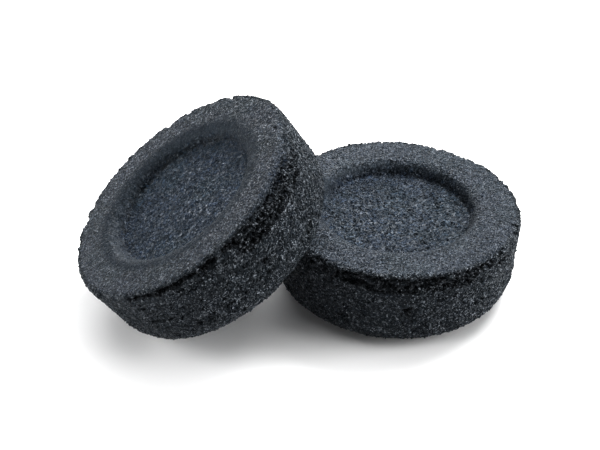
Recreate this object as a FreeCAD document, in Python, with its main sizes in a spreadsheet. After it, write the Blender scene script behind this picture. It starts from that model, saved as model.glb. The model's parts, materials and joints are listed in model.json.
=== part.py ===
import FreeCAD, Part
import math
import os
import Sketcher

# Two pressed charcoal tablets: one lies flat, and the other leans on its rim.
# Both are the same pressing, a short drafted cylinder with a shallow dish in
# its top.  Millimetres, +Z up.  The origin is the centre of the flat tablet's
# base, on the surface that the pair stands on.  The tablets lie along X, with
# the leaning one on the -X side, so XZ is a plane of symmetry.

# alias: (value, what it is); lengths in millimetres, angles in degrees
SIZES = {
    "rim_radius": (20.0, "outer radius at the top of the wall"),
    "tablet_height": (14.2, "base to rim"),
    "wall_draft": (1.5, "how far the wall leans outwards from upright"),
    "low_edge_rounding": (5.0, "radius between the base and the wall"),
    "rim_edge_rounding": (0.4, "radius between the wall and the rim"),
    "dish_floor_radius": (12.0, "flat floor of the dish, to the foot of its side"),
    "dish_depth": (2.1, "rim to dish floor"),
    "dish_side_slope": (70.0, "dish side, measured up from the floor"),
    "dish_lip_rounding": (2.4, "radius between the rim and the dish side"),
    "dish_foot_rounding": (0.4, "radius between the dish side and the floor"),
    "lean_angle": (34.6, "tilt of the leaning tablet's axis from upright"),
    "rim_clearance": (0.15, "gap where the leaning tablet meets the flat one"),
}

BASE_RADIUS = "Sizes.rim_radius - Sizes.tablet_height * tan(Sizes.wall_draft)"
LIP_RADIUS = "Sizes.dish_floor_radius + Sizes.dish_depth / tan(Sizes.dish_side_slope)"
# Distance from a tablet's axis to the centre of its low edge's rounding, which
# touches the base and the drafted wall.
LOW_EDGE_CENTRE = (
    f"({BASE_RADIUS}"
    " - Sizes.low_edge_rounding * (1 - sin(Sizes.wall_draft)) / cos(Sizes.wall_draft))"
)
# The same for the rounding between the wall and the rim.
RIM_EDGE_CENTRE = (
    "(Sizes.rim_radius"
    " - Sizes.rim_edge_rounding * (1 + sin(Sizes.wall_draft)) / cos(Sizes.wall_draft))"
)
# The leaning tablet stands on the rounding of its low edge, which puts the
# middle of its base at this height.
LEANING_BASE_Z = (
    "(Sizes.low_edge_rounding * (1 - cos(Sizes.lean_angle))"
    f" + {LOW_EDGE_CENTRE} * sin(Sizes.lean_angle))"
)
# Its base passes the flat tablet's rounded rim edge, the clearance away, which
# puts the middle of its base here along X.
LEANING_BASE_X = (
    f"(-{RIM_EDGE_CENTRE} - (Sizes.rim_edge_rounding + Sizes.rim_clearance"
    f" + (Sizes.tablet_height - Sizes.rim_edge_rounding - {LEANING_BASE_Z})"
    " * cos(Sizes.lean_angle)) / sin(Sizes.lean_angle))"
)
LEAN_AXIS = FreeCAD.Vector(0, -1, 0)

# The section's dimensions, each from the origin to a corner:
# (name, corner, direction, what drives it)
SECTION_DIMENSIONS = [
    ("base_radius", "base_corner", "DistanceX", BASE_RADIUS),
    ("rim_radius", "rim_corner", "DistanceX", "Sizes.rim_radius"),
    ("rim_height", "rim_corner", "DistanceY", "Sizes.tablet_height"),
    ("lip_radius", "lip_corner", "DistanceX", LIP_RADIUS),
    ("foot_radius", "foot_corner", "DistanceX", "Sizes.dish_floor_radius"),
    ("floor_height", "foot_corner", "DistanceY", "Sizes.tablet_height - Sizes.dish_depth"),
]
LEVEL_LINES = ["base_centre", "rim_corner", "foot_corner"]

# The corners that are rounded once the section is revolved.  The wide lip comes
# last, because it uses up most of the dish's side.
ROUNDINGS = {
    "base_corner": "low_edge_rounding",
    "rim_corner": "rim_edge_rounding",
    "foot_corner": "dish_foot_rounding",
    "lip_corner": "dish_lip_rounding",
}

# Sketcher's numbers for the ends of a line, and for a sketch's origin and axis.
LINE_START, LINE_END = 1, 2
SKETCH_ORIGIN, SKETCH_V_AXIS = -1, -2

NEAR = 1e-3


def make_sheet(doc):
    """Put every driving dimension in the sheet, under its alias."""
    sheet = doc.addObject("Spreadsheet::Sheet", "Sizes")
    for row, (alias, (value, meaning)) in enumerate(SIZES.items(), start=1):
        sheet.set(f"A{row}", meaning)
        sheet.set(f"B{row}", str(value))
        sheet.setAlias(f"B{row}", alias)
    doc.recompute()
    return sheet


def section_corners(sheet):
    """Return the sharp corners of half a section, each (radius, height)."""
    base_inset = sheet.tablet_height * math.tan(math.radians(sheet.wall_draft))
    dish_side_run = sheet.dish_depth / math.tan(math.radians(sheet.dish_side_slope))
    floor_height = sheet.tablet_height - sheet.dish_depth
    return {
        "base_centre": (0, 0),
        "base_corner": (sheet.rim_radius - base_inset, 0),
        "rim_corner": (sheet.rim_radius, sheet.tablet_height),
        "lip_corner": (sheet.dish_floor_radius + dish_side_run, sheet.tablet_height),
        "foot_corner": (sheet.dish_floor_radius, floor_height),
        "floor_centre": (0, floor_height),
    }


def draw_section(body, corners):
    """Draw half of a tablet's section, radius across and height up.

    Each line goes by the name of the corner that it starts from.
    """
    sketch = body.newObject("Sketcher::SketchObject", "Section")
    plane = next(item for item in body.Origin.OriginFeatures if item.Role == "XZ_Plane")
    sketch.AttachmentSupport = (plane, "")
    sketch.MapMode = "FlatFace"

    names = list(corners)
    following = dict(zip(names, names[1:] + names[:1]))
    line = {}
    for name in names:
        start = FreeCAD.Vector(*corners[name], 0)
        end = FreeCAD.Vector(*corners[following[name]], 0)
        line[name] = sketch.addGeometry(Part.LineSegment(start, end), False)

    def constrain(kind, *where):
        return sketch.addConstraint(Sketcher.Constraint(kind, *where))

    for name in names:
        constrain("Coincident", line[name], LINE_END, line[following[name]], LINE_START)
    constrain("Coincident", line["base_centre"], LINE_START, SKETCH_ORIGIN, LINE_START)
    constrain("PointOnObject", line["floor_centre"], LINE_START, SKETCH_V_AXIS)
    for name in LEVEL_LINES:
        constrain("Horizontal", line[name])
    for label, corner, direction, expression in SECTION_DIMENSIONS:
        radius, height = corners[corner]
        value = radius if direction == "DistanceX" else height
        number = constrain(
            direction, SKETCH_ORIGIN, LINE_START, line[corner], LINE_START, value
        )
        sketch.renameConstraint(number, label)
        sketch.setExpression(f"Constraints.{label}", expression)
    return sketch


def swept_circle(shape, corner):
    """Return the name of the circular edge that a corner sweeps."""
    radius, height = corner
    for number, edge in enumerate(shape.Edges, start=1):
        circle = edge.Curve
        if not isinstance(circle, Part.Circle):
            continue
        if abs(circle.Radius - radius) < NEAR and abs(circle.Center.z - height) < NEAR:
            return f"Edge{number}"
    raise ValueError(f"no circular edge at {corner}")


def make_tablet(doc, label, corners):
    """Revolve the section into a tablet that stands on its own origin."""
    body = doc.addObject("PartDesign::Body", label)
    body.Label = label
    sketch = draw_section(body, corners)
    pressing = body.newObject("PartDesign::Revolution", "Pressing")
    pressing.Profile = sketch
    pressing.ReferenceAxis = (sketch, ["V_Axis"])
    pressing.Angle = 360
    doc.recompute()
    for corner, rounding in ROUNDINGS.items():
        sharp = body.Tip
        fillet = body.newObject("PartDesign::Fillet", "Rounding")
        fillet.Base = (sharp, [swept_circle(sharp.Shape, corners[corner])])
        fillet.setExpression("Radius", f"Sizes.{rounding}")
        doc.recompute()
    return body


def lean(body, sheet):
    """Stand a tablet on its low edge, with its base on the flat one's rim."""
    body.Placement.Rotation = FreeCAD.Rotation(LEAN_AXIS, sheet.lean_angle)
    body.setExpression("Placement.Rotation.Angle", "Sizes.lean_angle")
    body.setExpression("Placement.Base.x", LEANING_BASE_X)
    body.setExpression("Placement.Base.z", LEANING_BASE_Z)


def exact_box(shape):
    """Return a shape's closest box, which BoundBox overstates on curved faces."""
    return shape.optimalBoundingBox(False, False)


def check(doc, sheet, flat_tablet, leaning_tablet):
    """Stop if anything in the document failed, or the pair doesn't sit right."""
    for item in doc.Objects:
        if "Invalid" in item.State or "Error" in item.State:
            raise RuntimeError(f"{item.Label} failed: {item.State}")
    for body in (flat_tablet, leaning_tablet):
        shape = body.Shape
        if shape.isNull() or not shape.isValid() or len(shape.Solids) != 1:
            raise RuntimeError(f"{body.Label} isn't one valid solid")
        if abs(exact_box(shape).ZMin) > NEAR:
            raise RuntimeError(f"{body.Label} doesn't stand on the surface")
    gap = flat_tablet.Shape.distToShape(leaning_tablet.Shape)[0]
    if abs(gap - sheet.rim_clearance) > NEAR:
        raise RuntimeError(f"the tablets are {gap:.3f} mm apart")


doc = FreeCAD.newDocument("CharcoalTablets")
sheet = make_sheet(doc)
corners = section_corners(sheet)
flat_tablet = make_tablet(doc, "flat_tablet", corners)
leaning_tablet = make_tablet(doc, "leaning_tablet", corners)
lean(leaning_tablet, sheet)
doc.recompute()
check(doc, sheet, flat_tablet, leaning_tablet)

os.makedirs("parts", exist_ok=True)
for body in (flat_tablet, leaning_tablet):
    body.Shape.exportStep(f"parts/{body.Label}.step")
    box = exact_box(body.Shape)
    print(
        f"{body.Label}: {body.Shape.Volume:.0f} mm3,"
        f" X {box.XMin:.2f} to {box.XMax:.2f}, Z {box.ZMin:.2f} to {box.ZMax:.2f}"
    )
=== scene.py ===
import json
import math

import bpy
import numpy as np
from mathutils import Matrix, Vector


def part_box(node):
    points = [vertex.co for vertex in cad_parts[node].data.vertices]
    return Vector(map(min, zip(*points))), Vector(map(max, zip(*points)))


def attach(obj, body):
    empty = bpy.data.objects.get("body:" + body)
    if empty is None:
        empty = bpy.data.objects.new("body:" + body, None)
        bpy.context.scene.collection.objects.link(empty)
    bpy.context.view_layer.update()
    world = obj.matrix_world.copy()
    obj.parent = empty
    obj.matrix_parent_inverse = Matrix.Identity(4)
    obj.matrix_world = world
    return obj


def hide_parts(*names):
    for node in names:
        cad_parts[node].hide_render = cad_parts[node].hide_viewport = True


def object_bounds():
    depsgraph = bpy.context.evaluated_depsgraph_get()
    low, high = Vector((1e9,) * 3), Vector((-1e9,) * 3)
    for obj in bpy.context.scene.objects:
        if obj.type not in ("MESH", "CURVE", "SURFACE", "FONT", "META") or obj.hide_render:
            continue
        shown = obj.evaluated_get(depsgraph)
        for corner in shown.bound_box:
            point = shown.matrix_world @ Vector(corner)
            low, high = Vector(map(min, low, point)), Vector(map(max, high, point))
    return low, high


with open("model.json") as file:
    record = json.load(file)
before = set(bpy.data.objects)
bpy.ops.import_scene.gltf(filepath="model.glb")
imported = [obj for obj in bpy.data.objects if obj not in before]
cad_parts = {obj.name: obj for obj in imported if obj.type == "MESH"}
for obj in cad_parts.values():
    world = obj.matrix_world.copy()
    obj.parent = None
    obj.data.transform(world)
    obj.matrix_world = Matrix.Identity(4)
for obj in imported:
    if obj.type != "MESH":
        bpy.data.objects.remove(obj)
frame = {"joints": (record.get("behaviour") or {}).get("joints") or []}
cad_low, cad_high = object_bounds()

MM = 0.001

# The pressing: what the frame doesn't give is named here, in millimetres and degrees.
TABLET_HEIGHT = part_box("flat_tablet")[1].z / MM
RIM_RADIUS = 20.0
WALL_DRAFT = 1.5
LOW_EDGE_ROUNDING = 5.0
# a little rounder than the solids, whose rim edge is rounded by 0.4
RIM_EDGE_ROUNDING = 0.5
DISH_FLOOR_RADIUS = 12.0
DISH_DEPTH = 2.1
DISH_SIDE_SLOPE = 70.0
DISH_LIP_ROUNDING = 2.4
DISH_FOOT_ROUNDING = 0.4

TIP_UP = next(joint for joint in frame["joints"] if joint["name"] == "tip_up")
LEAN = math.radians(90 - WALL_DRAFT - TIP_UP["range_deg"][1])

# Grain that is pressed into the shape, and finer grain that is only seen in the finish.
COARSE_GRAIN = 0.62
FINE_GRAIN = 0.36
FINISH_GRAIN = 0.42
FINISH_SPECK = 0.17
CHIP = 1.3
PIT_SPACING = 2.6

# Loose-looking grains that stand on the surface.
LOOSE_GRAINS_PER_SQUARE_MM = 2.5
SMALLEST_LOOSE_GRAIN = 0.15
LARGEST_LOOSE_GRAIN = 0.48
LOOSE_GRAIN_SHAPES = 6

# How fine the mesh is: the length of an edge, and how many columns the rim has.
MESH_STEP = 0.2
BASE_STEP = 0.4
RIM_COLUMNS = 640


# ---------------------------------------------------------------- nodes
class Socket:
    """An output of a node. Arithmetic on it adds Math nodes."""

    def __init__(self, graph, socket):
        self.graph = graph
        self.socket = socket

    def math(self, operation, *others):
        return self.graph.math(operation, self, *others)

    def __add__(self, other):
        return self.math("ADD", other)

    __radd__ = __add__

    def __sub__(self, other):
        return self.math("SUBTRACT", other)

    def __rsub__(self, other):
        return self.graph.math("SUBTRACT", other, self)

    def __mul__(self, other):
        return self.math("MULTIPLY", other)

    __rmul__ = __mul__

    def __truediv__(self, other):
        return self.math("DIVIDE", other)

    def __rtruediv__(self, other):
        return self.graph.math("DIVIDE", other, self)

    def __pow__(self, other):
        return self.math("POWER", other)

    def __rpow__(self, other):
        return self.graph.math("POWER", other, self)

    def __abs__(self):
        return self.math("ABSOLUTE")


def live_socket(sockets, name):
    """The socket in use that has this name or identifier. Some nodes have several of a name."""
    return next(s for s in sockets if s.enabled and name in (s.name, s.identifier))


class Made:
    """A node that was added. Its outputs are read by name."""

    def __init__(self, graph, node):
        self.graph = graph
        self.node = node

    def __getitem__(self, name):
        return Socket(self.graph, live_socket(self.node.outputs, name))


class Graph:
    """A node tree that is written from left to right."""

    def __init__(self, tree):
        self.tree = tree

    def add(self, kind, settings=None, values=None):
        """Add a node: its settings first, then the values or links of its sockets."""
        node = self.tree.nodes.new(kind)
        for name, setting in (settings or {}).items():
            setattr(node, name, setting)
        for name, value in (values or {}).items():
            numbered = isinstance(name, int)
            self.feed(node.inputs[name] if numbered else live_socket(node.inputs, name), value)
        return Made(self, node)

    def feed(self, socket, value):
        """Link a socket, link each of a list of sockets, or set a plain value."""
        for one in value if isinstance(value, list) else [value]:
            if isinstance(one, Socket):
                self.tree.links.new(one.socket, socket)
            else:
                socket.default_value = one

    # ---- numbers and vectors
    def math(self, operation, *values):
        """Add a Math node for sockets and plain numbers."""
        values = dict(enumerate(values))
        return self.add("ShaderNodeMath", {"operation": operation}, values)["Value"]

    def ease(self, value, start, end, low=0.0, high=1.0):
        """Go smoothly from low to high as value goes from start to end."""
        settings = {"interpolation_type": "SMOOTHSTEP", "clamp": True}
        values = {
            "Value": value,
            "From Min": start,
            "From Max": end,
            "To Min": low,
            "To Max": high,
        }
        return self.add("ShaderNodeMapRange", settings, values)["Result"]

    def vector(self, operation, *values):
        """Add a Vector Math node for vectors or colours."""
        values = dict(enumerate(values))
        return self.add("ShaderNodeVectorMath", {"operation": operation}, values)["Vector"]

    def scaled(self, vector, scale):
        """A vector or a colour times one number."""
        values = {0: vector, "Scale": scale}
        return self.add("ShaderNodeVectorMath", {"operation": "SCALE"}, values)["Vector"]

    def split(self, vector):
        """The three numbers of a vector or a colour."""
        made = self.add("ShaderNodeSeparateXYZ", None, {"Vector": vector})
        return made["X"], made["Y"], made["Z"]

    def join(self, x, y, z):
        return self.add("ShaderNodeCombineXYZ", None, {"X": x, "Y": y, "Z": z})["Vector"]

    def noise(self, where, scale, detail=2.0, roughness=0.5, distortion=0.0):
        """Noise from 0 to 1 with about scale bumps to each unit of where."""
        values = {
            "Vector": where,
            "Scale": scale,
            "Detail": detail,
            "Roughness": roughness,
            "Distortion": distortion,
        }
        return self.add("ShaderNodeTexNoise", None, values)

    def cells(self, where, size):
        """Uneven cells of about a size: a random Color each, and Distance from the middle."""
        values = {"Vector": where, "Scale": 1 / size}
        return self.add("ShaderNodeTexVoronoi", None, values)


# ---------------------------------------------------------------- the smooth pressing
def arc(centre, radius, start, end, step):
    """Points along an arc of the section, angles in degrees."""
    count = max(2, math.ceil(abs(math.radians(end - start)) * radius / step))
    angles = np.radians(np.linspace(start, end, count + 1))
    return [(centre[0] + radius * math.cos(a), centre[1] + radius * math.sin(a)) for a in angles]


def line(start, end, step):
    """Points along a straight line of the section."""
    count = max(1, math.ceil(math.dist(start, end) / step))
    return [tuple(np.array(start) + (np.array(end) - start) * i / count) for i in range(count + 1)]


def low_edge_centre():
    """Middle of the low edge's rounding in the half section: distance out, and height."""
    draft = math.radians(WALL_DRAFT)
    base_radius = RIM_RADIUS - TABLET_HEIGHT * math.tan(draft)
    reach = base_radius - LOW_EDGE_ROUNDING * (1 - math.sin(draft)) / math.cos(draft)
    return reach, LOW_EDGE_ROUNDING


def tablet_section():
    """The half section from the middle of the base to the middle of the dish."""
    draft = math.radians(WALL_DRAFT)
    slope = math.radians(DISH_SIDE_SLOPE)
    rim_centre = (
        RIM_RADIUS - RIM_EDGE_ROUNDING * (1 + math.sin(draft)) / math.cos(draft),
        TABLET_HEIGHT - RIM_EDGE_ROUNDING,
    )
    floor_height = TABLET_HEIGHT - DISH_DEPTH
    lip_corner = DISH_FLOOR_RADIUS + DISH_DEPTH / math.tan(slope)
    lip_centre = (
        lip_corner + DISH_LIP_ROUNDING * math.tan(slope / 2),
        TABLET_HEIGHT - DISH_LIP_ROUNDING,
    )
    foot_centre = (
        DISH_FLOOR_RADIUS - DISH_FOOT_ROUNDING * math.tan(slope / 2),
        floor_height + DISH_FOOT_ROUNDING,
    )
    low_edge = arc(low_edge_centre(), LOW_EDGE_ROUNDING, -90, -WALL_DRAFT, MESH_STEP)
    rim_edge = arc(rim_centre, RIM_EDGE_ROUNDING, -WALL_DRAFT, 90, MESH_STEP)
    lip = arc(lip_centre, DISH_LIP_ROUNDING, 90, 90 + DISH_SIDE_SLOPE, MESH_STEP)
    foot = arc(foot_centre, DISH_FOOT_ROUNDING, -90 + DISH_SIDE_SLOPE, -90, MESH_STEP)
    stretches = [
        line((0, 0), low_edge[0], BASE_STEP),
        low_edge,
        line(low_edge[-1], rim_edge[0], MESH_STEP),
        rim_edge,
        line(rim_edge[-1], lip[0], MESH_STEP),
        lip,
        line(lip[-1], foot[0], MESH_STEP),
        foot,
        line(foot[-1], (0, floor_height), MESH_STEP),
    ]
    return [stretches[0][0]] + [point for stretch in stretches for point in stretch[1:]]


def ring_count(radius, step):
    """Vertices in a ring: halved towards the middle, so that they stay about a step apart."""
    fewest = 5
    closest = 0.66 * step
    count = RIM_COLUMNS
    while count > fewest and math.tau * radius / count < closest:
        count //= 2
    return count


def smooth_tablet(name):
    """The tablet before it has any grain, standing at the origin, in metres."""
    nothing = 1e-6
    points, rings = [], []
    for radius, height in tablet_section():
        if radius < nothing:
            rings.append([len(points)])
            points.append((0, 0, height * MM))
            continue
        step = BASE_STEP if height < nothing else MESH_STEP
        count = ring_count(radius, step)
        rings.append(list(range(len(points), len(points) + count)))
        for turn in np.arange(count) * 2 * math.pi / count:
            points.append((radius * MM * math.cos(turn), radius * MM * math.sin(turn), height * MM))
    faces = []
    for lower, upper in zip(rings, rings[1:]):
        faces += stitched(lower, upper)
    mesh = bpy.data.meshes.new(name)
    mesh.from_pydata(points, [], faces)
    mesh.validate()
    tablet = bpy.data.objects.new(name, mesh)
    bpy.context.scene.collection.objects.link(tablet)
    return tablet


def stitched(lower, upper):
    """Faces between two rings, one of which may have fewer vertices, facing outwards."""
    if len(lower) < len(upper):
        return [tuple(reversed(face)) for face in stitched(upper, lower)]
    many, few = len(lower), len(upper)
    faces = []
    if few == 1:
        return [(lower[i], lower[(i + 1) % many], upper[0]) for i in range(many)]
    if many == few:
        for i in range(many):
            j = (i + 1) % many
            faces.append((lower[i], lower[j], upper[j], upper[i]))
        return faces
    ratio = many // few
    for i in range(few):
        j = (i + 1) % few
        near, far = upper[i], upper[j]
        outer = [lower[(i * ratio + k) % many] for k in range(ratio + 1)]
        middle = ratio // 2
        for k in range(ratio):
            corner = near if k < middle else far
            faces.append((outer[k], outer[k + 1], corner))
        faces.append((outer[middle], far, near))
    return faces


# ---------------------------------------------------------------- pressed grain
def new_geometry_tree(name, inputs):
    """A Geometry Nodes tree with a geometry in, a geometry out and named inputs."""
    tree = bpy.data.node_groups.new(name, "GeometryNodeTree")
    tree.interface.new_socket("Geometry", in_out="INPUT", socket_type="NodeSocketGeometry")
    tree.interface.new_socket("Geometry", in_out="OUTPUT", socket_type="NodeSocketGeometry")
    for label, kind in inputs.items():
        tree.interface.new_socket(label, in_out="INPUT", socket_type=f"NodeSocket{kind}")
    graph = Graph(tree)
    return tree, graph, graph.add("NodeGroupInput")


def store(graph, geometry, name, value):
    """Keep a number for each vertex under a name that the materials read."""
    settings = {"data_type": "FLOAT", "domain": "POINT"}
    values = {"Geometry": geometry, "Name": name, "Value": value}
    return graph.add("GeometryNodeStoreNamedAttribute", settings, values)["Geometry"]


def stored(graph, name):
    """A number for each vertex that was kept before, or 0."""
    values = {"Name": name}
    found = graph.add("GeometryNodeInputNamedAttribute", {"data_type": "FLOAT"}, values)
    return found["Attribute"]


def place_in_mm(graph):
    """Where each vertex is, in millimetres."""
    return graph.scaled(graph.add("GeometryNodeInputPosition")["Position"], 1 / MM)


def end_tree(graph, geometry, material):
    """Finish a tree with one whole mesh that has its material."""
    values = {"Geometry": geometry, "Material": material}
    finished = graph.add("GeometryNodeSetMaterial", None, values)["Geometry"]
    whole = graph.add("GeometryNodeRealizeInstances", None, {"Geometry": finished})["Geometry"]
    graph.add("NodeGroupOutput", None, {"Geometry": whole})


def marked_place_tree():
    """Mark an oval patch near the rim's outer edge, on the wall or on the rim. Millimetres.

    Its middle is below the edge on the wall. Across the rim, that height is negative.
    """
    inputs = {
        "Mark": "String",
        "Angle": "Float",
        "Below edge": "Float",
        "Half width": "Float",
        "Half height": "Float",
        "Strength": "Float",
        "Material": "Material",
    }
    tree, g, given = new_geometry_tree("marked_place", inputs)
    x, y, z = g.split(place_in_mm(g))
    radius = (x * x + y * y) ** 0.5
    cosine, sine = given["Angle"].math("COSINE"), given["Angle"].math("SINE")
    along = y * cosine - x * sine
    ahead = g.ease(x * cosine + y * sine, 0.0, 1.0)
    below = (TABLET_HEIGHT - z) - (RIM_RADIUS - radius)
    wide = along / given["Half width"]
    tall = (below - given["Below edge"]) / given["Half height"]
    oval = g.ease((wide * wide + tall * tall) ** 0.5, 1.15, 0.6)
    # the base is as far in from the edge as parts of the rim are, and stays unmarked
    off_base = g.ease(z, 2.0, 4.5)
    patch = oval * ahead * off_base * given["Strength"]
    both = stored(g, given["Mark"]).math("MAXIMUM", patch)
    end_tree(g, store(g, given["Geometry"], given["Mark"], both), given["Material"])
    return tree


def parts_of_pressing(g, given, radius, z, ragged):
    """How much a vertex is on the dish's floor, its side, the wall and the base, 0 to 1.

    The dish's floor has a ragged border, so it goes by a radius that wanders.
    """
    floor_radius, smooth_radius = given["Floor radius"], given["Smooth radius"]
    upper = g.ease(TABLET_HEIGHT - z, 3.2, 2.4)
    floor = g.ease(ragged, floor_radius + 0.7, floor_radius - 0.5) * upper
    outside_floor = g.ease(radius, floor_radius, floor_radius + 0.4)
    side = outside_floor * g.ease(radius, smooth_radius + 0.9, smooth_radius) * upper
    base = g.ease(z, 1.2, 0.0)
    on_top = upper * g.ease(radius, RIM_RADIUS - 0.4, RIM_RADIUS - 1.1)
    wall = (1 - on_top) * (1 - base)
    return floor, side, wall, base


def one_grain(g, cells, own_height, dome):
    """Each grain at its own height, and domed towards its middle. Millimetres."""
    even_distance = 0.42
    height = (g.split(cells["Color"])[0] - 0.5) * own_height
    return height + (even_distance - cells["Distance"]) * dome


def crumbled_away(g, moved, bent, broken, wall):
    """Flaky hollows, ledges and chips, and how crumbled the place is, 0 to 1."""
    scattered = g.ease(g.noise(moved, 0.16, 2.0)["Fac"], 0.60, 0.70) * wall * 0.5
    crumbling = (broken + scattered).math("MINIMUM", 1.0)
    long_flakes = g.vector("MULTIPLY", moved, (1.0, 1.0, 2.1))
    flakes = g.noise(long_flakes, 0.75, 5.0, 0.72, 0.6)["Fac"]
    hollow = g.ease(flakes - 0.64 + crumbling * 0.19, 0.0, 0.06) * g.ease(crumbling, 0.05, 0.35)
    long_ledges = g.vector("MULTIPLY", moved, (0.7, 0.7, 2.4))
    ledge = g.ease(g.noise(long_ledges, 0.62, 4.0, 0.62)["Fac"], 0.44, 0.56) * crumbling
    chips = g.cells(g.vector("MULTIPLY", bent, (0.8, 0.8, 2.2)), CHIP)
    chip = (g.split(chips["Color"])[0] - 0.5) * crumbling
    return crumbling, hollow, ledge, chip


def cracks_and_pits(g, moved, wall):
    """Cracks that run round the wall, and a few pits, 0 to 1."""
    layers = g.vector("MULTIPLY", moved, (1.0, 1.0, 3.4))
    crack = g.ease(abs(g.noise(layers, 0.22, 2.0)["Fac"] - 0.5), 0.014, 0.003)
    crack = crack * wall * g.ease(g.noise(moved, 0.3, 1.0)["Fac"], 0.50, 0.60)
    pits = g.cells(moved, PIT_SPACING)
    few = g.ease(g.split(pits["Color"])[1], 0.80, 0.84)
    pit = g.ease(pits["Distance"], 0.14, 0.06) * few
    return crack, pit


def nibbled_edge(g, moved, radius, below_rim):
    """Nibbles out of the rim's outer edge, 0 to 1."""
    edge = g.ease(radius, RIM_RADIUS - 1.1, RIM_RADIUS - 0.2) * g.ease(below_rim, 1.1, 0.3)
    return g.ease(g.noise(moved, 0.42, 3.0, 0.65)["Fac"], 0.50, 0.66) * edge


def pressed_grain_tree():
    """Push a smooth tablet's surface in and out, as pressed grain is. Millimetres."""
    inputs = {
        "Seed": "Float",
        "Floor radius": "Float",
        "Smooth radius": "Float",
        "Rubbed": "Float",
        "Material": "Material",
    }
    tree, g, given = new_geometry_tree("pressed_grain", inputs)
    where = place_in_mm(g)
    normal = g.add("GeometryNodeInputNormal")["Normal"]
    x, y, z = g.split(where)
    radius = (x * x + y * y) ** 0.5
    seed = given["Seed"]
    moved = g.vector("ADD", where, g.join(seed * 37.0, seed * -23.0, seed * 11.0))
    bent = g.vector("ADD", moved, g.scaled(g.noise(moved, 1.4, 2.0)["Color"], 0.5))
    broken, worn = stored(g, "broken"), stored(g, "worn")

    # slow unevenness, lumps, two sizes of grain, and dust
    sway = g.noise(moved, 0.10, 1.0)["Fac"] - 0.5
    lumps = g.noise(moved, 0.6, 3.0, 0.55)["Fac"] - 0.5
    coarse = g.cells(bent, COARSE_GRAIN)
    coarse_grain = one_grain(g, coarse, 0.26, 0.30)
    fine_grain = one_grain(g, g.cells(bent, FINE_GRAIN), 0.16, 0.16)
    dust = g.noise(moved, 4.5, 2.0)["Fac"] - 0.5

    # how far each of them goes in and out, part by part
    ragged = radius + lumps * 3.0 + (g.split(coarse["Color"])[1] - 0.5) * 1.2
    floor, side, wall, base = parts_of_pressing(g, given, radius, z, ragged)
    relief = (
        sway * 0.5
        + lumps * (0.18 + 0.26 * wall)
        + coarse_grain * (0.10 + 0.18 * floor + 0.30 * wall)
        + fine_grain * (0.55 - 0.30 * side + 0.45 * wall)
        + dust * 0.10
    )

    # what has crumbled, worn, cracked or been nibbled away
    crumbling, hollow, ledge, chip = crumbled_away(g, moved, bent, broken, wall)
    relief = relief - hollow * (0.30 + 0.45 * crumbling) - ledge * 0.40 + chip * 0.60 - worn * 0.8
    crack, pit = cracks_and_pits(g, moved, wall)
    relief = relief - crack * 0.3 - pit * 0.5 * (1 - side)
    relief = relief - nibbled_edge(g, moved, radius, TABLET_HEIGHT - z) * 0.6 + 0.07

    # the grain of the base goes inwards only, so that nothing stands proud of it
    inwards = 0.22 + sway * 0.5
    relief = (relief - base * inwards).math("MINIMUM", (1 - base) * 0.35)
    values = {"Geometry": given["Geometry"], "Offset": g.scaled(normal, relief * MM)}
    shaped = g.add("GeometryNodeSetPosition", None, values)["Geometry"]

    # what the finish and the loose grains go by
    opened = hollow + ledge * 0.4 + crack * 0.6 + pit
    coarseness = floor + hollow + crumbling + worn * 0.6 + wall * 0.4
    rubbed = (1 - floor) * (1 - side) * (1 - wall) * (1 - worn * 0.8)
    kept = {
        "hollow": opened.math("MINIMUM", 1.0),
        "coarse": coarseness.math("MINIMUM", 1.0),
        "raised": (coarse_grain * floor + fine_grain) * 2.0 + chip + 0.5,
        "slope": side * (1 - floor),
        "wall": wall,
        "crumbled": crumbling,
        "rubbed": rubbed * given["Rubbed"],
        "grains": floor * 0.8 + wall * 0.3 + crumbling * 0.8,
    }
    for name, value in kept.items():
        shaped = store(g, shaped, name, value)
    end_tree(g, shaped, given["Material"])
    return tree


def one_loose_grain(g, shape):
    """An angular lump, squashed flat, one unit across and made an instance."""
    lump = g.add("GeometryNodeMeshIcoSphere", None, {"Radius": 0.5, "Subdivisions": 1})["Mesh"]
    push = 0.17
    values = {"Min": (-push, -push, -push), "Max": (push, push, push), "Seed": 100 + shape}
    jitter = g.add("FunctionNodeRandomValue", {"data_type": "FLOAT_VECTOR"}, values)["Value"]
    values = {"Geometry": lump, "Offset": jitter}
    lump = g.add("GeometryNodeSetPosition", None, values)["Geometry"]
    values = {"Geometry": lump, "Scale": (1.0, 0.85 - 0.05 * shape, 0.6)}
    squashed = g.add("GeometryNodeTransform", None, values)["Geometry"]
    return g.add("GeometryNodeGeometryToInstance", None, {"Geometry": squashed})["Instances"]


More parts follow.
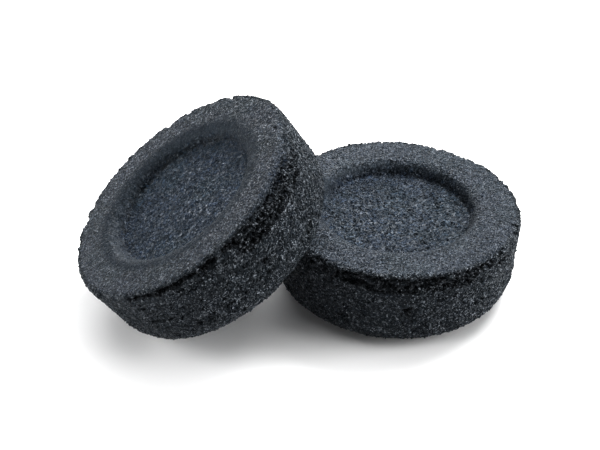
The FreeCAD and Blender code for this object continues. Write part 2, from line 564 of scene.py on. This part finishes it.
def grain_scatter_tree():
    """Scatter angular grains of charcoal over a tablet, half sunk into it."""
    inputs = {
        "Seed": "Int",
        "Grains per square mm": "Float",
        "Smallest": "Float",
        "Largest": "Float",
        "Material": "Material",
    }
    tree, g, given = new_geometry_tree("charcoal_grains", inputs)
    density = given["Grains per square mm"] * stored(g, "grains") * (1 / MM**2)
    values = {"Mesh": given["Geometry"], "Density": density, "Seed": given["Seed"]}
    settings = {"distribute_method": "RANDOM"}
    spread = g.add("GeometryNodeDistributePointsOnFaces", settings, values)

    # any of the shapes, turned any way, and small more often than large
    shapes = [one_loose_grain(g, shape) for shape in range(LOOSE_GRAIN_SHAPES)]
    values = {"Min": 0, "Max": LOOSE_GRAIN_SHAPES - 1, "Seed": 7}
    which = g.add("FunctionNodeRandomValue", {"data_type": "INT"}, values)["Value"]
    values = {"Min": (0, 0, 0), "Max": (math.tau, math.tau, math.tau), "Seed": 8}
    turn = g.add("FunctionNodeRandomValue", {"data_type": "FLOAT_VECTOR"}, values)["Value"]
    chance = g.add("FunctionNodeRandomValue", {"data_type": "FLOAT"}, {"Seed": 9})["Value"]
    size = given["Smallest"] + (given["Largest"] - given["Smallest"]) * chance * chance
    values = {
        "Points": spread["Points"],
        "Instance": g.add("GeometryNodeJoinGeometry", None, {"Geometry": shapes})["Geometry"],
        "Pick Instance": True,
        "Instance Index": which,
        "Rotation": turn,
        "Scale": g.join(size, size, size),
    }
    placed = g.add("GeometryNodeInstanceOnPoints", None, values)["Instances"]
    whole = g.add("GeometryNodeRealizeInstances", None, {"Geometry": placed})["Geometry"]
    for name in ("coarse", "raised"):
        whole = store(g, whole, name, 1.0)
    end_tree(g, whole, given["Material"])
    return tree


def through_trees(source, name, steps):
    """Run an object through trees in turn, and return the result as a plain mesh object."""
    for tree, inputs in steps:
        modifier = source.modifiers.new(tree.name, "NODES")
        modifier.node_group = tree
        for item in tree.interface.items_tree:
            if item.in_out == "INPUT" and item.name in inputs:
                modifier[item.identifier] = inputs[item.name]
    bpy.context.view_layer.update()
    evaluated = source.evaluated_get(bpy.context.evaluated_depsgraph_get())
    mesh = bpy.data.meshes.new_from_object(evaluated)
    source.modifiers.clear()
    mesh.name = name
    made = bpy.data.objects.new(name, mesh)
    bpy.context.scene.collection.objects.link(made)
    return made


# ---------------------------------------------------------------- finishes
def new_material(name):
    """An empty material and the graph that fills it."""
    material = bpy.data.materials.new(name)
    material.use_nodes = True
    material.node_tree.nodes.clear()
    return material, Graph(material.node_tree)


def mix_colour(g, factor, first, second):
    """Mix two colours. A plain colour is three numbers."""
    first, second = ((*c, 1) if isinstance(c, tuple) else c for c in (first, second))
    values = {"Factor_Float": factor, "A_Color": first, "B_Color": second}
    return g.add("ShaderNodeMix", {"data_type": "RGBA"}, values)["Result_Color"]


def attribute(g, name):
    """A number that the geometry stored on the surface."""
    settings = {"attribute_type": "GEOMETRY", "attribute_name": name}
    return g.add("ShaderNodeAttribute", settings)["Fac"]


def charcoal_tone(g, where, grains, specks, stored_as):
    """A dark blue-grey body, grains of their own shade, and paler specks with painted glints among
    them. Painted shade darkens the hollows, the walls, the crumbled band and the dish's side.
    """
    coarse, smooth, wall, crumbled = (stored_as[n] for n in ("coarse", "slope", "wall", "crumbled"))
    shade, glint, _ = g.split(grains["Color"])
    speck_shade = g.split(specks["Color"])[0]
    mottle = g.noise(where, 0.35, 3.0)["Fac"]
    tint = g.noise(where, 0.14, 2.0)["Fac"]
    # painted shade: the colour is darker, down to half, in the hollows, ledges, cracks and pits, and
    # so are the specks and the rubbed paleness there
    painted_hollow_shade = g.ease(stored_as["hollow"], 0.0, 0.8, 1.0, 0.5)

    body = 0.74 + shade ** 3 * (0.4 + 1.1 * coarse)
    body = body * (0.75 + 0.5 * mottle) * g.ease(stored_as["raised"], 0.1, 0.9, 0.55, 1.25)
    body = body * g.ease(speck_shade, 0.0, 0.5, 0.30, 1.25)
    # painted shade: much darker on the walls than on the top, darker in the crumbled band under the
    # rim, and a little darker on the dish's side
    body = body * painted_hollow_shade * (1.22 - 0.95 * wall - 0.20 * crumbled) * (1 - 0.1 * smooth)
    # partly pale flecks of the grain and partly painted glints, made stronger on the walls and in
    # the crumbled band and fainter on the dish's smooth side
    pale = speck_shade ** 7 * 4.8 * (1 - 0.25 * coarse) + glint ** 8 * coarse * 1.2
    pale = pale * (1 - 0.75 * smooth) * (1 + 0.6 * wall + 1.0 * crumbled)
    pale = (pale + glint ** 24 * 1.6 * (1 - smooth)) * painted_hollow_shade

    slate, ink = (0.0080, 0.0146, 0.0230), (0.0086, 0.0138, 0.0240)
    hue = mix_colour(g, g.ease(tint, 0.36, 0.56), slate, ink)
    hue = mix_colour(g, smooth * 0.8, hue, (0.0112, 0.0140, 0.0190))
    tone = g.vector("ADD", g.scaled(hue, body), g.scaled((0.0285, 0.0305, 0.0330), pale))
    rubbed_off = g.scaled((0.0125, 0.0100, 0.0070), stored_as["rubbed"] * painted_hollow_shade)
    tone = g.vector("ADD", tone, rubbed_off)

    # fine fissures between the flakes of the walls, with brighter flakes beside them
    flakes = g.ease(g.noise(where, 1.3, 4.0)["Fac"], 0.44, 0.58, 0.60, 1.35)
    return g.scaled(tone, 1 + wall * (flakes - 1))


def leaning_facets(g, where, grains, specks, stored_as):
    """A normal that leans its own way on each grain and speck, with a little dust."""
    middle = (0.5, 0.5, 0.5)
    grain_lean = g.vector("SUBTRACT", grains["Color"], middle)
    speck_lean = g.vector("SUBTRACT", specks["Color"], middle)
    grain_lean = g.scaled(grain_lean, 0.2 + 0.5 * stored_as["coarse"])
    speck_lean = g.scaled(speck_lean, 1.15 - 0.8 * stored_as["slope"])
    lean = g.vector("ADD", grain_lean, speck_lean)
    facing = g.vector("ADD", g.add("ShaderNodeNewGeometry")["Normal"], lean)
    facing = g.vector("NORMALIZE", facing)
    dust = g.noise(where, 7.0, 2.0)["Fac"]
    values = {"Strength": 0.5, "Distance": 0.06 * MM, "Height": dust, "Normal": facing}
    return g.add("ShaderNodeBump", None, values)["Normal"]


def pressed_charcoal():
    """Pressed charcoal grain: near black, faintly blue, with glinting facets."""
    material, g = new_material("pressed_charcoal")
    where = g.scaled(g.add("ShaderNodeTexCoord")["Object"], 1 / MM)
    names = ("hollow", "coarse", "raised", "slope", "wall", "crumbled", "rubbed")
    stored_as = {name: attribute(g, name) for name in names}
    grains = g.cells(where, FINISH_GRAIN)
    specks = g.cells(where, FINISH_SPECK)
    grain_glint = g.ease(g.split(grains["Color"])[1], 0.86, 0.98) * stored_as["coarse"]
    glinting = grain_glint + g.ease(g.split(specks["Color"])[1], 0.84, 0.97)
    roughness = 0.66 - glinting * 0.40 + stored_as["hollow"] * 0.2
    values = {
        "Base Color": charcoal_tone(g, where, grains, specks, stored_as),
        "Roughness": roughness.math("MAXIMUM", 0.24),
        "Normal": leaning_facets(g, where, grains, specks, stored_as),
        "Specular IOR Level": 0.35,
        "Specular Tint": (0.70, 0.86, 1.0, 1),
    }
    shader = g.add("ShaderNodeBsdfPrincipled", None, values)
    g.add("ShaderNodeOutputMaterial", None, {"Surface": shader["BSDF"]})
    return material


def glowing_paper():
    """White paper with a faint painted glow of its own, which lightens the shadows on it."""
    material, g = new_material("white_paper")
    values = {
        "Base Color": (0.90, 0.90, 0.90, 1),
        "Roughness": 0.8,
        "Specular IOR Level": 0.2,
        # painted glow: the paper gives off a little light of its own
        "Emission Color": (1.0, 0.99, 1.0, 1),
        "Emission Strength": 0.045,
    }
    shader = g.add("ShaderNodeBsdfPrincipled", None, values)
    g.add("ShaderNodeOutputMaterial", None, {"Surface": shader["BSDF"]})
    return material


# ---------------------------------------------------------------- the two tablets
def leaning_place():
    """How the leaning tablet is turned up on its low edge, from where it would stand."""
    reach, height = low_edge_centre()
    edge_centre = Vector((-reach, 0, height)) * MM
    turn = Matrix.Rotation(LEAN, 4, Vector((0, -1, 0)))
    return Matrix.Translation(Vector(TIP_UP["pos_m"])) @ turn @ Matrix.Translation(-edge_centre)


def make_tablet(name, place, seed, rubbed, smooth_lip, marks):
    """One tablet and its loose-looking grains, put where its CAD solid is.

    smooth_lip is how far out over the lip's rounding the smooth side of the dish goes, and
    rubbed is how much paler the rim has been rubbed.
    """
    smooth = smooth_tablet("smooth_" + name)
    steps = []
    for mark, angle, below_edge, half_width, half_height, strength in marks:
        inputs = {
            "Mark": mark,
            "Angle": math.radians(angle),
            "Below edge": below_edge,
            "Half width": half_width,
            "Half height": half_height,
            "Strength": strength,
            "Material": CHARCOAL,
        }
        steps.append((MARKED_PLACE, inputs))
    inputs = {
        "Seed": seed,
        "Floor radius": DISH_FLOOR_RADIUS,
        "Smooth radius": DISH_FLOOR_RADIUS + smooth_lip * DISH_LIP_ROUNDING,
        "Rubbed": rubbed,
        "Material": CHARCOAL,
    }
    steps.append((PRESSED_GRAIN, inputs))
    pressed = through_trees(smooth, name + "_pressing", steps)
    inputs = {
        "Seed": int(seed),
        "Grains per square mm": LOOSE_GRAINS_PER_SQUARE_MM,
        "Smallest": SMALLEST_LOOSE_GRAIN * MM,
        "Largest": LARGEST_LOOSE_GRAIN * MM,
        "Material": CHARCOAL,
    }
    grains = through_trees(pressed, name + "_grains", [(GRAIN_SCATTER, inputs)])
    bpy.data.objects.remove(smooth)
    for piece in (pressed, grains):
        piece.data.transform(place)
        stand_on_floor(piece.data)
        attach(piece, name)
    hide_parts(name)


def stand_on_floor(mesh):
    """Flatten what a tilted or grainy surface would push through the floor."""
    for vertex in mesh.vertices:
        vertex.co.z = max(vertex.co.z, 0.0)


# Where each tablet has crumbled or worn: the mark, its angle from +X in degrees, how far its
# middle is below the rim's outer edge, its half width and half height, all three in
# millimetres, and how strong it is, up to 1.
FLAT_MARKS = [
    ("broken", -100, 1.2, 16.0, 1.9, 0.75),
    ("broken", -124, 1.6, 2.6, 0.9, 1.0),
    ("broken", -106, 0.6, 2.4, 0.8, 0.9),
    ("broken", -91, 0.6, 3.4, 1.2, 1.0),
    ("broken", -75, 1.9, 2.8, 1.1, 1.0),
    ("broken", -62, 0.7, 2.2, 0.9, 1.0),
    ("broken", -50, 2.1, 1.6, 0.6, 0.8),
    ("broken", -29.5, -0.3, 0.3, 1.0, 1.0),
    ("broken", 65, 1.4, 9.0, 0.9, 0.7),
    ("broken", 150, 0.9, 4.0, 0.8, 0.8),
]
LEANING_MARKS = [
    ("worn", -26, 0.2, 12.5, 1.9, 0.9),
    ("broken", -107, 0.8, 7.0, 0.7, 1.0),
    ("broken", -64, 0.5, 5.0, 0.5, 1.0),
    ("broken", -85, 0.8, 1.8, 0.9, 0.9),
    ("broken", -70, 0.5, 3.0, 1.3, 1.0),
    ("broken", -60, 2.6, 5.0, 2.0, 0.8),
    ("broken", -38, 2.4, 8.5, 2.6, 0.6),
    ("broken", -34, 1.0, 3.0, 1.0, 0.8),
    ("broken", -122, 6.2, 3.4, 0.4, 0.8),
    ("broken", 100, 1.2, 7.0, 0.8, 0.7),
    ("broken", 170, 1.6, 4.0, 0.9, 0.8),
]
MARKED_PLACE = marked_place_tree()
PRESSED_GRAIN = pressed_grain_tree()
GRAIN_SCATTER = grain_scatter_tree()
CHARCOAL = pressed_charcoal()
make_tablet(
    "flat_tablet", Matrix.Identity(4), seed=1.0, rubbed=0.5, smooth_lip=0.3, marks=FLAT_MARKS
)
make_tablet(
    "leaning_tablet", leaning_place(), seed=2.0, rubbed=1.0, smooth_lip=1.1, marks=LEANING_MARKS
)


# ---------------------------------------------------------------- stage, light and camera
# In metres.
FLOOR_RADIUS = 0.3
LAMP_DISTANCE = 0.6


def make_floor():
    """A plain white round sheet under the tablets."""
    mesh = bpy.data.meshes.new("floor")
    corners = 96
    turns = [math.tau * corner / corners for corner in range(corners)]
    edge = [(FLOOR_RADIUS * math.cos(turn), FLOOR_RADIUS * math.sin(turn), 0) for turn in turns]
    mesh.from_pydata(edge, [], [range(corners)])
    mesh.materials.append(glowing_paper())
    floor = bpy.data.objects.new("floor", mesh)
    bpy.context.scene.collection.objects.link(floor)


def direction(azimuth, elevation):
    """A unit vector, in degrees. Azimuth 0 is +Y and 90 is +X."""
    turn, lift = math.radians(azimuth), math.radians(elevation)
    return Vector((math.sin(turn) * math.cos(lift), math.cos(turn) * math.cos(lift), math.sin(lift)))


def make_softbox(name, azimuth, elevation, size, power):
    """A square lamp that faces the tablets from a direction. Its size is in metres."""
    lamp = bpy.data.lights.new(name, "AREA")
    lamp.shape = "SQUARE"
    lamp.size = size
    lamp.energy = power
    holder = bpy.data.objects.new(name, lamp)
    bpy.context.scene.collection.objects.link(holder)
    away = direction(azimuth, elevation)
    holder.location = (cad_low + cad_high) / 2 + away * LAMP_DISTANCE
    holder.rotation_euler = (-away).to_track_quat("-Z", "Y").to_euler()


def make_world(strength):
    """A white room all round, which gives the tablets only a little of their light."""
    world = bpy.data.worlds.new("white_room")
    world.use_nodes = True
    world.node_tree.nodes.clear()
    g = Graph(world.node_tree)
    seen = g.add("ShaderNodeLightPath")["Is Camera Ray"]
    white = seen * (1 - strength) + strength
    background = g.add("ShaderNodeBackground", None, {"Color": (1, 1, 1, 1), "Strength": white})
    g.add("ShaderNodeOutputWorld", None, {"Surface": background["Background"]})
    bpy.context.scene.world = world


def make_camera(target, azimuth, elevation, distance, roll, lens):
    """A camera that looks along azimuth and down by elevation, at the target."""
    camera = bpy.data.cameras.new("camera")
    camera.sensor_width = 36
    camera.lens = lens
    camera.clip_start = 0.01
    holder = bpy.data.objects.new("camera", camera)
    bpy.context.scene.collection.objects.link(holder)
    ahead = direction(azimuth, -elevation)
    level = ahead.to_track_quat("-Z", "Y").to_matrix().to_4x4()
    place = Matrix.Translation(target - ahead * distance) @ level
    holder.matrix_world = place @ Matrix.Rotation(math.radians(roll), 4, "Z")
    bpy.context.scene.camera = holder


make_floor()
make_world(strength=0.03)
make_softbox("key", azimuth=48, elevation=48, size=0.35, power=4.9)
make_softbox("top", azimuth=0, elevation=90, size=0.60, power=2.5)
make_softbox("left", azimuth=274, elevation=20, size=0.35, power=4.0)
make_softbox("right", azimuth=108, elevation=20, size=0.35, power=3.6)
make_softbox("back", azimuth=2, elevation=22, size=0.35, power=3.0)
make_camera(
    target=Vector((-14.374, 7.173, 7.0)) * MM,
    azimuth=12.21,
    elevation=34.90,
    distance=189.47 * MM,
    roll=0.74,
    lens=67.40,
)
bpy.context.scene.view_settings.view_transform = "Standard"
bpy.context.scene.view_settings.gamma = 0.8
